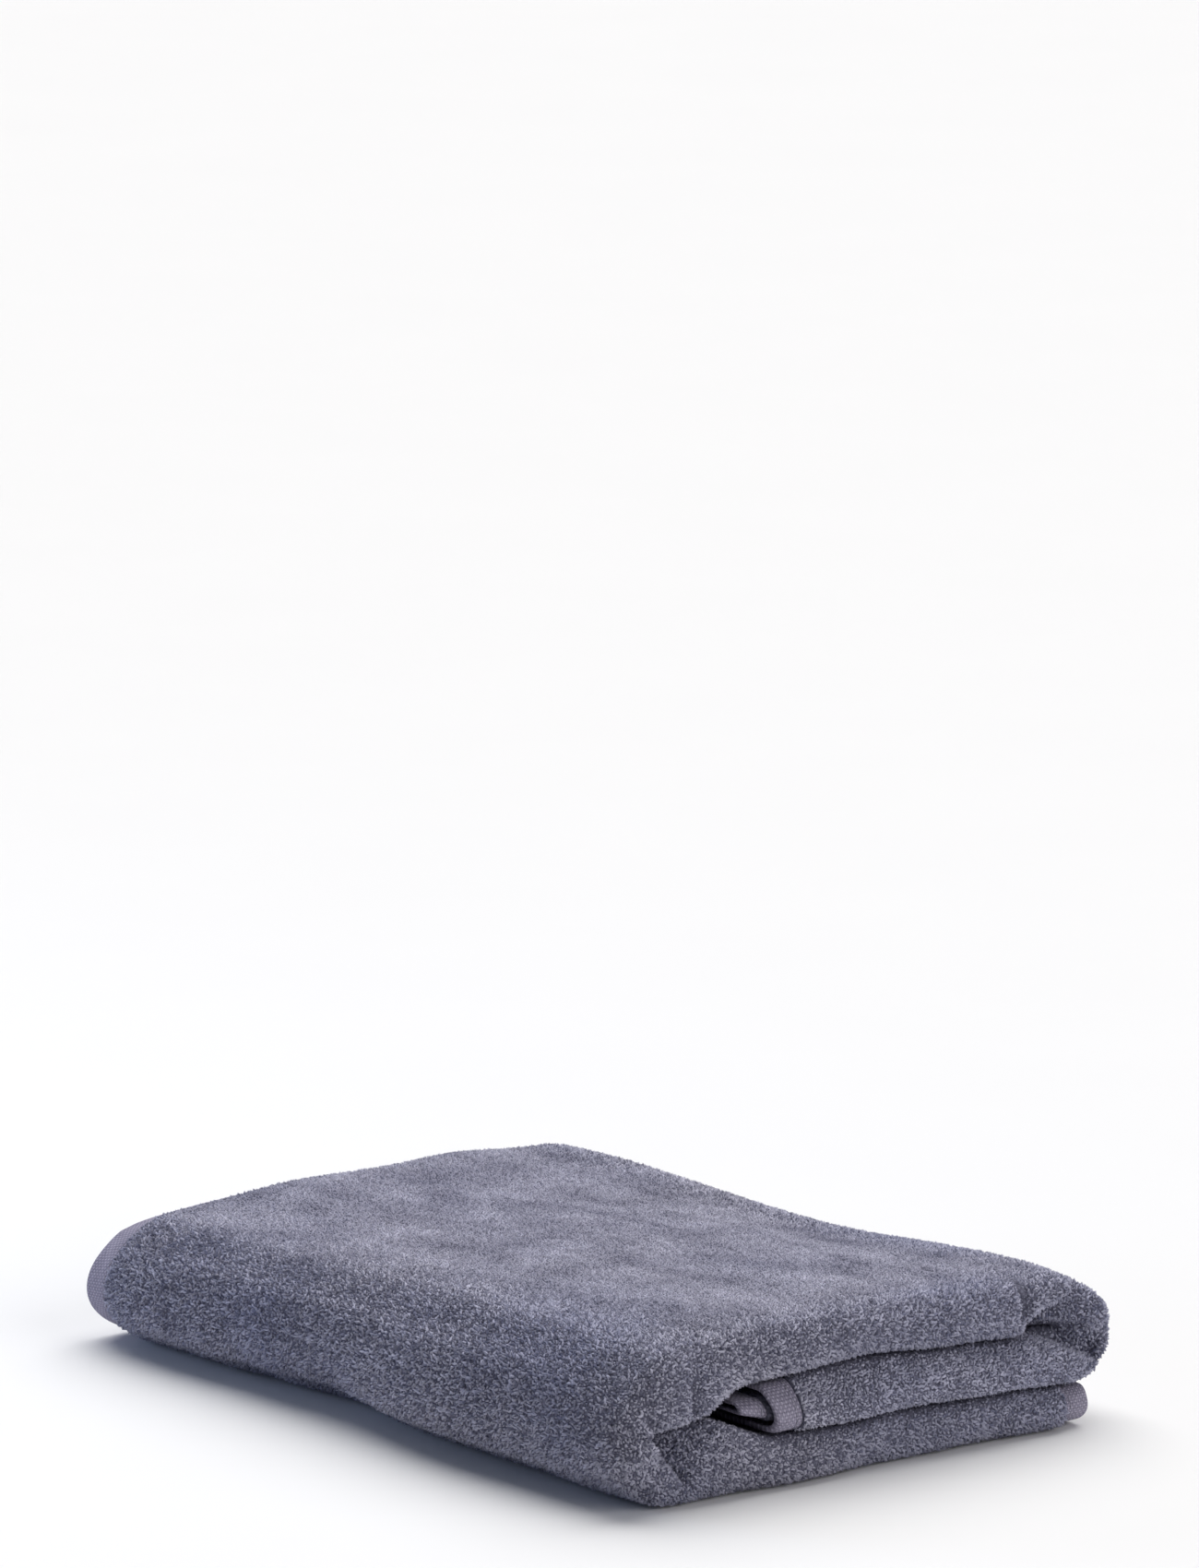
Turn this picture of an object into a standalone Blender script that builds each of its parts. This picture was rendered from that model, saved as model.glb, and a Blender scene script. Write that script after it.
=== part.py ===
"""A folded terry bath towel, built in Blender 4.5 as separate named solids.

The towel is one rectangle of terry cloth with a woven hem along each of its four edges. Its long
direction is folded in half and in half again, which lays four plies on each other, and that pad is
then folded in three, with its last third tucked between the other two.

Metres, +Z up. X runs across the pad, Y runs along it. The doubled ends of the plies, which show as
three rolls, are at -Y, and the hemmed ends are at +Y. The rounded wrap of the fold in three is at -X.
"""

import math

import bpy
import numpy as np

# ---- Sizes of the folded towel ------------------------------------------------------------------
FOLDED_WIDTH = 0.255  # X, over the rounded wrap and the right-hand fold
FOLDED_LENGTH = 0.365  # Y, over the rolls and the hemmed ends
NEAR_HEIGHT = 0.066  # Z, at the rolls
FAR_HEIGHT = 0.054  # Z, at the hemmed ends, where fewer folds hold the plies up

# ---- Sizes of the cloth -------------------------------------------------------------------------
PLY_GAP = 0.0006  # clear space between neighbouring plies
END_HEM_WIDTH = 0.018  # along the towel's two short edges
SIDE_HEM_WIDTH = 0.014  # along its two long edges
PIECE_GAP = 0.0004  # clear space between a hem and the pile cloth, or a thread and its hem

# ---- Where the cloth's own edges lie ------------------------------------------------------------
BOTTOM_SETBACK = 0.010  # the lowest third stops this far inside the right-hand fold
TUCK_EDGE_X = -0.048  # the tucked third's free edge, outer plies
INNER_SHIFT = 0.014  # the two inner plies lie this much further along than the outer two
INNER_END_SETBACK = 0.004  # the inner end hem stops this far inside the outer one

# ---- Sewing thread ------------------------------------------------------------------------------
THREAD_RADIUS = 0.0003
THREAD_RECESS = 0.00005  # the seam lies this far inside the pile's face
SEAM_INSET = 0.0030  # from a hem's inner edge to its seam
THREAD_SIDES = 6

# ---- Fineness of the folds ----------------------------------------------------------------------
WRAP_STEPS = 14  # round the left-hand wrap
TUCK_STEPS = 12  # round the right-hand fold
OUTER_ROLL_STEPS = 10  # round the outer pair of plies
INNER_ROLL_STEPS = 8  # round the inner pair and the far loop
PANEL_STEPS = 2  # along each flat run
THREAD_PANEL_STEPS = 1

PLIES_PER_PANEL = 4
PANELS = 3
PLY_PITCH = (NEAR_HEIGHT + PLY_GAP) / (PLIES_PER_PANEL * PANELS)
PILE_THICKNESS = PLY_PITCH - PLY_GAP
PANEL_PITCH = PLIES_PER_PANEL * PLY_PITCH
OUTER_PLY = 1.5 * PLY_PITCH  # from a panel's middle to the middle of its outer plies
INNER_PLY = 0.5 * PLY_PITCH
HEM_THICKNESS = PILE_THICKNESS - 2 * (PIECE_GAP + 2 * THREAD_RADIUS + THREAD_RECESS)

# ---- Finishes: base colour, roughness -----------------------------------------------------------
TERRY_FINISH = ((0.205, 0.203, 0.262), 0.95)
HEM_FINISH = ((0.235, 0.222, 0.285), 0.85)
THREAD_FINISH = ((0.250, 0.240, 0.310), 0.60)


class Path:
    """A planar path of straight runs and arcs, read by arc length."""

    def __init__(self, start, heading):
        """Starts a path.

        Args:
            start: its first point, as two coordinates.
            heading: the unit direction in which it sets off.
        """
        self.pieces = []
        self.length = 0.0
        self.point = np.array(start, float)
        self.heading = np.array(heading, float)

    def straight(self, run, steps):
        """Adds a straight run cut into steps."""
        self.pieces.append((self.length, run, self.point, self.heading, 0.0, steps))
        self.point = self.point + self.heading * run
        self.length += run

    def half_turn(self, radius, way, steps):
        """Adds half a circle.

        Args:
            radius: its radius.
            way: 1 turns from the first axis towards the second, -1 the other way.
            steps: how many chords draw it.
        """
        run = math.pi * radius
        self.pieces.append((self.length, run, self.point, self.heading, way / radius, steps))
        across = way * np.array((-self.heading[1], self.heading[0]))
        self.point = self.point + 2 * radius * across
        self.heading = -self.heading
        self.length += run

    def at(self, distance):
        """Gives the point and the unit heading at an arc length."""
        for begin, run, point, heading, bend, _ in self.pieces:
            if distance <= begin + run + 1e-9:
                break
        along = distance - begin
        if not bend:
            return point + heading * along, heading
        left = np.array((-heading[1], heading[0]))
        angle = along * bend
        place = point + heading * math.sin(angle) / bend + left * (1 - math.cos(angle)) / bend
        return place, heading * math.cos(angle) + left * math.sin(angle)

    def knots(self, straight_steps=None):
        """Gives the arc lengths of every step's end, first and last included."""
        found = [0.0]
        for begin, run, _, _, bend, steps in self.pieces:
            count = steps if bend or straight_steps is None else straight_steps
            found += [begin + run * step / count for step in range(1, count + 1)]
        return found


def panel_path():
    """The middle of the four plies, in X and Z, from the lowest third's free edge."""
    wrap_radius = PANEL_PITCH
    tuck_radius = PANEL_PITCH / 2
    pad_half = OUTER_PLY + PILE_THICKNESS / 2
    left = -FOLDED_WIDTH / 2 + wrap_radius + pad_half
    right = FOLDED_WIDTH / 2 - tuck_radius - pad_half
    begin = FOLDED_WIDTH / 2 - BOTTOM_SETBACK
    path = Path((begin, pad_half), (-1.0, 0.0))
    path.straight(begin - left, PANEL_STEPS)
    path.half_turn(wrap_radius, -1, WRAP_STEPS)
    path.straight(right - left, PANEL_STEPS)
    path.half_turn(tuck_radius, -1, TUCK_STEPS)
    path.straight(right - TUCK_EDGE_X, PANEL_STEPS)
    return path


def ply_path():
    """The cloth's middle, in Y and across the pad, from the outer ply's hemmed end."""
    near = -FOLDED_LENGTH / 2 + OUTER_PLY + PILE_THICKNESS / 2
    far = FOLDED_LENGTH / 2 - INNER_PLY - PILE_THICKNESS / 2
    path = Path((FOLDED_LENGTH / 2, OUTER_PLY), (-1.0, 0.0))
    path.straight(FOLDED_LENGTH / 2 - near, PANEL_STEPS)
    path.half_turn(OUTER_PLY, 1, OUTER_ROLL_STEPS)
    path.straight(far - near, PANEL_STEPS)
    path.half_turn(INNER_PLY, 1, INNER_ROLL_STEPS)
    path.straight(far - near, PANEL_STEPS)
    path.half_turn(INNER_PLY, -1, INNER_ROLL_STEPS)
    path.straight(FOLDED_LENGTH / 2 - INNER_END_SETBACK - near, PANEL_STEPS)
    return path


ACROSS = panel_path()
ALONG = ply_path()
LOOP_END = ALONG.pieces[4][0]  # where the far loop ends and the two inner plies begin
INNER_ROLL = ALONG.pieces[5][0]


def shift(along):
    """How far the cloth at this place has slipped round the pad's path."""
    reached = (along - LOOP_END) / (INNER_ROLL - LOOP_END)
    return INNER_SHIFT * min(max(reached, 0.0), 1.0)


def place(across, along, lift):
    """Puts a point of the flat cloth where the folds carry it.

    Args:
        across: arc length round the pad's path.
        along: arc length along the plies' path.
        lift: height over the cloth's middle, towards its outer face.

    Returns:
        The point's X, Y and Z.
    """
    (y, ply), (way_y, way_ply) = ALONG.at(along)
    y, ply = y + way_ply * lift, ply - way_y * lift
    (x, z), (way_x, way_z) = ACROSS.at(across)
    x, z = x - way_z * ply, z + way_x * ply
    reach = (y + FOLDED_LENGTH / 2) / FOLDED_LENGTH
    return x, y, z * (1 - (1 - FAR_HEIGHT / NEAR_HEIGHT) * reach)


def material(name, finish):
    """Makes a Principled material of a base colour and a roughness."""
    made = bpy.data.materials.new(name)
    made.use_nodes = True
    shader = made.node_tree.nodes["Principled BSDF"]
    shader.inputs["Base Color"].default_value = (*finish[0], 1.0)
    shader.inputs["Roughness"].default_value = finish[1]
    shader.inputs["Metallic"].default_value = 0.0
    made.diffuse_color = (*finish[0], 1.0)
    return made


def add_solid(name, points, faces, finish):
    """Makes one named object from a closed mesh."""
    mesh = bpy.data.meshes.new(name)
    mesh.from_pydata(points, [], faces)
    mesh.validate()
    mesh.materials.append(material(name, finish))
    mesh.update()
    made = bpy.data.objects.new(name, mesh)
    bpy.context.scene.collection.objects.link(made)
    return made


def add_cloth(name, rows, thickness, finish):
    """Makes a slab of cloth that follows the folds.

    Args:
        name: the object's name.
        rows: (along, [across, ...]) pairs, every row with as many places across.
        thickness: the cloth's thickness.
        finish: its base colour and roughness.

    Returns:
        The object.
    """
    count_rows, count = len(rows), len(rows[0][1])
    points = [
        place(across, along, side * thickness / 2)
        for side in (1, -1)
        for along, places in rows
        for across in places
    ]
    under = count_rows * count

    def at(row, column, side):
        return side * under + row * count + column

    faces = []
    for row in range(count_rows - 1):
        for column in range(count - 1):
            corners = ((row, column), (row + 1, column), (row + 1, column + 1), (row, column + 1))
            faces.append([at(*corner, 0) for corner in corners])
            faces.append([at(*corner, 1) for corner in reversed(corners)])
    rim = [(0, column) for column in range(count - 1)]
    rim += [(row, count - 1) for row in range(count_rows - 1)]
    rim += [(count_rows - 1, column) for column in range(count - 1, 0, -1)]
    rim += [(row, 0) for row in range(count_rows - 1, 0, -1)]
    for first, second in zip(rim, rim[1:] + rim[:1]):
        faces.append([at(*first, 0), at(*second, 0), at(*second, 1), at(*first, 1)])
    return add_solid(name, points, faces, finish)


def add_thread(name, line, side, finish):
    """Makes a sewing thread that lies on one face of a hem.

    Args:
        name: the object's name.
        line: its places as (across, along) pairs.
        side: 1 for the cloth's outer face, -1 for its inner face.
        finish: its base colour and roughness.

    Returns:
        The object.
    """
    lift = side * (HEM_THICKNESS / 2 + PIECE_GAP + THREAD_RADIUS)
    centres = np.array([place(across, along, lift) for across, along in line])
    above = np.array([place(across, along, lift + side * 0.0001) for across, along in line])
    ways = np.gradient(centres, axis=0)
    ways /= np.linalg.norm(ways, axis=1)[:, None]
    ups = above - centres
    ups -= (ups * ways).sum(axis=1)[:, None] * ways
    ups /= np.linalg.norm(ups, axis=1)[:, None]
    sides = np.cross(ways, ups)
    turns = 2 * math.pi * np.arange(THREAD_SIDES) / THREAD_SIDES
    rings = (
        centres[:, None]
        + THREAD_RADIUS * np.cos(turns)[None, :, None] * sides[:, None]
        + THREAD_RADIUS * np.sin(turns)[None, :, None] * ups[:, None]
    )
    faces = []
    for ring in range(len(line) - 1):
        for step in range(THREAD_SIDES):
            after = (step + 1) % THREAD_SIDES
            base, upper = ring * THREAD_SIDES, (ring + 1) * THREAD_SIDES
            faces.append([base + after, base + step, upper + step, upper + after])
    last = (len(line) - 1) * THREAD_SIDES
    faces.append(list(range(THREAD_SIDES)))
    faces.append([last + step for step in reversed(range(THREAD_SIDES))])
    return add_solid(name, rings.reshape(-1, 3).tolist(), faces, finish)


def between(knots, low, high, clear=0.0005):
    """Gives low, the knots well inside the two limits, and high."""
    return [low, *[knot for knot in knots if low + clear < knot < high - clear], high]


def build_cloth():
    """Makes the pile cloth and the four hems round it."""
    across, along = ACROSS.knots(), ALONG.knots()
    rows = []
    for row in between(along, END_HEM_WIDTH, ALONG.length - END_HEM_WIDTH):
        slip = shift(row)
        ends = slip + SIDE_HEM_WIDTH, slip + ACROSS.length - SIDE_HEM_WIDTH
        rows.append((row, [ends[0], *across[1:-1], ends[1]]))
    add_cloth("terry_cloth", rows, PILE_THICKNESS, TERRY_FINISH)

    hem_depth = END_HEM_WIDTH - PIECE_GAP
    for name, low, high in (
        ("end_hem_outer", 0.0, hem_depth),
        ("end_hem_inner", ALONG.length - hem_depth, ALONG.length),
    ):
        slip = shift(low)
        places = [slip, *across[1:-1], slip + ACROSS.length]
        add_cloth(name, [(low, places), (high, places)], HEM_THICKNESS, HEM_FINISH)

    hem_depth = SIDE_HEM_WIDTH - PIECE_GAP
    for name, low, high in (
        ("side_hem_bottom", 0.0, hem_depth),
        ("side_hem_tucked", ACROSS.length - hem_depth, ACROSS.length),
    ):
        rows = [
            (row, [shift(row) + low, shift(row) + high])
            for row in between(along, END_HEM_WIDTH, ALONG.length - END_HEM_WIDTH)
        ]
        add_cloth(name, rows, HEM_THICKNESS, HEM_FINISH)


def build_seams():
    """Makes the needle thread and the bobbin thread of each hem's lockstitch."""
    across = ACROSS.knots(THREAD_PANEL_STEPS)
    along = ALONG.knots(THREAD_PANEL_STEPS)
    end_inset = END_HEM_WIDTH - SEAM_INSET
    side_inset = SIDE_HEM_WIDTH - SEAM_INSET
    start = SIDE_HEM_WIDTH / 4
    lines = {}
    for name, row in (("end_outer", end_inset), ("end_inner", ALONG.length - end_inset)):
        slip = shift(row)
        places = between(across, slip + start, slip + ACROSS.length - start)
        lines[name] = [(spot, row) for spot in places]
    for name, column in (("side_bottom", side_inset), ("side_tucked", ACROSS.length - side_inset)):
        rows = between(along, END_HEM_WIDTH + PIECE_GAP, ALONG.length - END_HEM_WIDTH - PIECE_GAP)
        lines[name] = [(column + shift(row), row) for row in rows]
    for name, line in lines.items():
        add_thread(f"needle_thread_{name}", line, 1, THREAD_FINISH)
        add_thread(f"bobbin_thread_{name}", line, -1, THREAD_FINISH)


def main():
    """Clears the scene and builds the towel."""
    for old in list(bpy.data.objects):
        bpy.data.objects.remove(old, do_unlink=True)
    build_cloth()
    build_seams()


main()
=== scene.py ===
"""Looks of a folded terry bath towel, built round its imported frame.

The cloth is one rectangle, folded in half and in half again along its length, then in three across
its width. Every piece is laid out flat, as places across and along the cloth, and one mapping,
FoldedCloth, carries it into the folds, so that the plies, hems, seams and pile stay together.
Metres, +Z up.
"""

import logging
import math
from dataclasses import dataclass
from enum import Enum, IntEnum

import bpy
import numpy as np
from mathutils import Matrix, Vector


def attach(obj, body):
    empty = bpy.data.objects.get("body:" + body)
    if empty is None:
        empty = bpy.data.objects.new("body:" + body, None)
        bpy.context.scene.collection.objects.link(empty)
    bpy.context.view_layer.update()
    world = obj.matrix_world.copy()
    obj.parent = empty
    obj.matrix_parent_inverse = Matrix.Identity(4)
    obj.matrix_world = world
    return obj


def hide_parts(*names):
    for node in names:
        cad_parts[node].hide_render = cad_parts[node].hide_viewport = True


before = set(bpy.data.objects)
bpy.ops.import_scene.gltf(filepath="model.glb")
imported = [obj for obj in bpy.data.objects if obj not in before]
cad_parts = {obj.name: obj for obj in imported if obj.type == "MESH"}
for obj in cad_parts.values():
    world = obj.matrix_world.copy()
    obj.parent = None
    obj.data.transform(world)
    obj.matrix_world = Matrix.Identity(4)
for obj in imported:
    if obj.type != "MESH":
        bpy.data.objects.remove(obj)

LOG = logging.getLogger("towel")
MM = 0.001
BODY = "root"
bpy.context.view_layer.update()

Colour = tuple[float, float, float]


# ---- Shader graphs ------------------------------------------------------------------------------


class Signal:
    """A number in a node tree, used in Python arithmetic."""

    def __init__(self, tree: "NodeTree", socket: bpy.types.NodeSocket) -> None:
        """Wraps an output socket of a tree."""
        self.tree, self.socket = tree, socket

    def __add__(self, other: "Signal | float") -> "Signal":
        """Adds."""
        return self.tree.math("ADD", self, other)

    def __sub__(self, other: "Signal | float") -> "Signal":
        """Subtracts."""
        return self.tree.math("SUBTRACT", self, other)

    def __rsub__(self, other: float) -> "Signal":
        """Subtracts from a number."""
        return self.tree.math("SUBTRACT", other, self)

    def __mul__(self, other: "Signal | float") -> "Signal":
        """Multiplies."""
        return self.tree.math("MULTIPLY", self, other)

    def __truediv__(self, other: "Signal | float") -> "Signal":
        """Divides."""
        return self.tree.math("DIVIDE", self, other)

    def __pow__(self, other: "Signal | float") -> "Signal":
        """Raises to a power."""
        return self.tree.math("POWER", self, other)

    __radd__ = __add__
    __rmul__ = __mul__

    def sine(self) -> "Signal":
        """Gives the sine."""
        return self.tree.math("SINE", self)

    def absolute(self) -> "Signal":
        """Gives the size without the sign."""
        return self.tree.math("ABSOLUTE", self)

    def spread(self, low: float, high: float) -> "Signal":
        """Stretches a range over 0 to 1 and cuts off the rest.

        Args:
            low: what becomes 0.
            high: what becomes 1.

        Returns:
            The stretched number.
        """
        inputs = {"Value": self, "From Min": low, "From Max": high}
        made = self.tree.node("ShaderNodeMapRange", {"clamp": True}, inputs)
        return Signal(self.tree, made.outputs["Result"])


class NodeTree:
    """A tree of shader or geometry nodes."""

    def __init__(self, tree: bpy.types.NodeTree) -> None:
        """Takes the tree to add to."""
        self.tree = tree

    def connect(self, socket: bpy.types.NodeSocket, value: object) -> None:
        """Gives an input socket what it takes.

        Args:
            socket: the input.
            value: a number or a colour to set, or a signal or an output to link.
        """
        if isinstance(value, Signal):
            value = value.socket
        if isinstance(value, bpy.types.NodeSocket):
            self.tree.links.new(value, socket)
        elif socket.type == "RGBA" and len(value) == 3:
            socket.default_value = (*value, 1.0)
        else:
            socket.default_value = value

    def node(
        self, kind: str, settings: dict[str, object], inputs: dict[object, object]
    ) -> bpy.types.Node:
        """Makes a node.

        Args:
            kind: the node's type.
            settings: its properties, set before its sockets.
            inputs: values or links, by socket name or number.

        Returns:
            The node.
        """
        made = self.tree.nodes.new(kind)
        for name, value in settings.items():
            setattr(made, name, value)
        for name, value in inputs.items():
            self.connect(made.inputs[name], value)
        return made

    def math(self, operation: str, *values: "Signal | float") -> Signal:
        """Makes a Math node."""
        made = self.node("ShaderNodeMath", {"operation": operation}, dict(enumerate(values)))
        return Signal(self, made.outputs[0])


class Graph(NodeTree):
    """One material's node tree, with its Principled shader."""

    def __init__(self, name: str, constants: dict[str, object]) -> None:
        """Starts a material.

        Args:
            name: the material's name.
            constants: values for the Principled shader's sockets.
        """
        self.material = bpy.data.materials.new(name)
        self.material.use_nodes = True
        super().__init__(self.material.node_tree)
        self.shader = self.tree.nodes["Principled BSDF"]
        for socket, value in constants.items():
            self.connect(self.shader.inputs[socket], value)

    def blend(self, factor: "Signal | float", first: object, second: object) -> object:
        """Mixes two colours.

        Args:
            factor: the share of the second.
            first: a colour or its socket.
            second: a colour or its socket.

        Returns:
            The mixed colour's socket.
        """
        settings = {"data_type": "RGBA", "blend_type": "MIX"}
        made = self.node("ShaderNodeMix", settings, {0: factor, 6: first, 7: second})
        return made.outputs[2]

    def where(self) -> bpy.types.NodeSocket:
        """Gives the place in the piece's own coordinates, in metres."""
        return self.node("ShaderNodeTexCoord", {}, {}).outputs["Object"]

    def attribute(self, name: str) -> Signal:
        """Reads a number that the piece's mesh carries."""
        made = self.node("ShaderNodeAttribute", {"attribute_name": name}, {})
        return Signal(self, made.outputs["Fac"])

    def noise(self, place: object, size: float, detail: float = 2.0, rough: float = 0.5) -> Signal:
        """Makes soft noise.

        Args:
            place: the coordinates' socket.
            size: the size of its patches, in metres.
            detail: how many finer layers it has.
            rough: how strong they are.

        Returns:
            A number about 0.5.
        """
        inputs = {"Vector": place, "Scale": 1 / size, "Detail": detail, "Roughness": rough}
        return Signal(self, self.node("ShaderNodeTexNoise", {}, inputs).outputs["Fac"])

    def cells(self, place: object, size: float) -> Signal:
        """Gives the distance from the nearest of a field of scattered points, in cell sizes."""
        made = self.node("ShaderNodeTexVoronoi", {}, {"Vector": place, "Scale": 1 / size})
        return Signal(self, made.outputs["Distance"])

    def stretched(self, place: object, scale: tuple[float, float, float]) -> object:
        """Scales coordinates, so that a pattern on them is drawn out."""
        inputs = {"Vector": place, "Scale": scale}
        return self.node("ShaderNodeMapping", {}, inputs).outputs["Vector"]

    def bump(self, height: Signal, distance: float, strength: float) -> object:
        """Turns a height into a normal.

        Args:
            height: the height, from 0 to 1.
            distance: what 1 stands for, in metres.
            strength: how much of it shows.

        Returns:
            The normal's socket.
        """
        inputs = {"Height": height, "Distance": distance, "Strength": strength}
        return self.node("ShaderNodeBump", {}, inputs).outputs["Normal"]

    def finish(self, **links: object) -> bpy.types.Material:
        """Connects the shader's sockets.

        Args:
            links: Base_Color, Roughness or Normal, each with its value or link.

        Returns:
            The material.
        """
        for name, value in links.items():
            self.connect(self.shader.inputs[name.replace("_", " ")], value)
        return self.material


def cloth_constants(roughness: float, sheen: float, tint: Colour) -> dict[str, object]:
    """Gives the shader values that matt cloth shares.

    Args:
        roughness: the surface's roughness.
        sheen: the weight of the fuzz's sheen.
        tint: the sheen's colour.

    Returns:
        Values by socket name.
    """
    return {
        "Roughness": roughness,
        "Metallic": 0.0,
        "Specular IOR Level": 0.12,
        "Sheen Weight": sheen,
        "Sheen Roughness": 0.55,
        "Sheen Tint": tint,
    }


@dataclass(frozen=True)
class GroundFinish:
    """The ground of the pile, coloured far darker than the yarn: painted shade between the loops,
    and fairer, with less painted shade, where they lie flat.
    """

    name: str
    deep: Colour
    fair: Colour
    calm: Colour
    clump: float = 1.7 * MM
    relief: float = 0.9 * MM

    def build(self) -> bpy.types.Material:
        """Makes the material."""
        graph = Graph(self.name, cloth_constants(0.95, 0.2, self.fair))
        place = graph.where()
        calm = graph.attribute("calm")
        clumps = 1 - graph.cells(place, self.clump).spread(0.05, 0.85)
        fibres = graph.noise(place, self.clump * 0.45, 3.0, 0.7)
        lit = (clumps * 0.55 + fibres * 0.50).spread(0.05, 0.95)
        # Painted shade: the ground's dark colours stand for the shade between the loops; on the
        # pressed top the paler calm colour paints less of it.
        colour = graph.blend(lit, self.deep, self.fair)
        colour = graph.blend(calm * 0.85, colour, self.calm)
        normal = graph.bump(clumps + fibres * 0.6, self.relief, 0.85)
        return graph.finish(Base_Color=colour, Roughness=0.90 + fibres * 0.10, Normal=normal)


@dataclass(frozen=True)
class YarnFinish:
    """The dyed cotton loops, each a little fairer or deeper, and brushed in soft patches. The
    tucked third's loops are fairer: painted light. The sides and rolls get a cool tint in random
    patches, partly painted bluish light.
    """

    name: str
    deep: Colour
    fair: Colour
    cool: Colour
    patch: float = 20 * MM
    strand: float = 0.5 * MM

    def build(self) -> bpy.types.Material:
        """Makes the material."""
        graph = Graph(self.name, cloth_constants(0.95, 0.3, self.fair))
        place = graph.where()
        calm, tone = graph.attribute("calm"), graph.attribute("tone")
        brushed = graph.stretched(place, (1.0, 0.55, 1.0))
        patches = graph.noise(brushed, self.patch, 3.0, 0.55).spread(0.30, 0.70)
        drift = graph.noise(place, self.patch * 4.0, 1.0).spread(0.35, 0.65)
        strands = graph.noise(place, self.strand, 2.0, 0.6)
        paler = 1 - (1 - tone) ** 2
        loops = paler * (0.72 - calm * 0.62) + strands * (0.16 - calm * 0.08)
        # Painted light: the loops of the tucked third are made fairer, so that the middle roll,
        # shaded by the top roll, looks lighter.
        fair = graph.attribute("fair") * 0.17
        lit = patches * (0.20 + calm * 0.34) + loops + calm * 0.27 + fair - 0.20
        lit = lit.spread(0.05, 0.95)
        colour = graph.blend(lit, self.deep, self.fair)
        # A cool tint in random patches, held off the top: partly painted bluish light on the sides
        # and rolls.
        colour = graph.blend((1 - calm * 0.75) * drift * 0.35, colour, self.cool)
        normal = graph.bump(strands, 0.2 * MM, 0.6)
        return graph.finish(Base_Color=colour, Roughness=0.90 + strands * 0.10, Normal=normal)


@dataclass(frozen=True)
class WovenFinish:
    """The plain weave of the turned hems, laid out on the cloth's own flat coordinates."""

    name: str
    deep: Colour
    fair: Colour
    pitch: float = 1.2 * MM
    relief: float = 0.7 * MM

    def build(self) -> bpy.types.Material:
        """Makes the material."""
        graph = Graph(self.name, cloth_constants(0.85, 0.12, self.fair))
        flat = graph.node("ShaderNodeUVMap", {"uv_map": "flat"}, {}).outputs["UV"]
        parts = graph.node("ShaderNodeSeparateXYZ", {}, {"Vector": flat})
        turn = math.pi / self.pitch
        across = Signal(graph, parts.outputs["X"]) * turn
        along = Signal(graph, parts.outputs["Y"]) * turn
        over = (across.sine() * along.sine()) * 0.5 + 0.5
        ridges = (across.sine().absolute() + along.sine().absolute()) * 0.5
        slubs = graph.noise(graph.stretched(flat, (0.22, 1.0, 1.0)), self.pitch * 1.6, 2.0, 0.6)
        fuzz = graph.noise(graph.where(), 0.5 * MM, 2.0, 0.7)
        lit = (over * 0.40 + ridges * 0.45 + slubs * 0.45 + fuzz * 0.20 - 0.30).spread(0.1, 0.9)
        colour = graph.blend(lit, self.deep, self.fair)
        height = ridges * 0.6 + over * 0.4 + fuzz * 0.25
        normal = graph.bump(height, self.relief, 0.9)
        return graph.finish(Base_Color=colour, Roughness=0.80 + fuzz * 0.15, Normal=normal)


@dataclass(frozen=True)
class ThreadFinish:
    """The twisted sewing thread."""

    name: str
    deep: Colour
    fair: Colour
    twist: float = 0.45 * MM

    def build(self) -> bpy.types.Material:
        """Makes the material."""
        graph = Graph(self.name, cloth_constants(0.6, 0.1, self.fair))
        strands = graph.noise(graph.where(), self.twist, 2.0, 0.6)
        colour = graph.blend(strands.spread(0.3, 0.7), self.deep, self.fair)
        normal = graph.bump(strands, 0.15 * MM, 0.6)
        return graph.finish(Base_Color=colour, Roughness=0.5 + strands * 0.2, Normal=normal)


@dataclass(frozen=True)
class FloorFinish:
    """A plain pale studio floor."""

    name: str
    colour: Colour

    def build(self) -> bpy.types.Material:
        """Makes the material."""
        graph = Graph(self.name, {"Roughness": 0.9, "Specular IOR Level": 0.1})
        grain = graph.noise(graph.where(), 0.12, 2.0)
        darker = tuple(part * 0.985 for part in self.colour)
        return graph.finish(Base_Color=graph.blend(grain, darker, self.colour))


# ---- The fold -----------------------------------------------------------------------------------


class Across(IntEnum):
    """The parts of the path round the pad, from the lowest third's edge."""

    LOWER, WRAP, TOP, FOLD, TUCKED = range(5)


class Along(IntEnum):
    """The parts of the path along the plies, from the outer hem's edge."""

    OUTER, ROLL, BACK, LOOP, FORTH, BEND, LAST = range(7)


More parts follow.
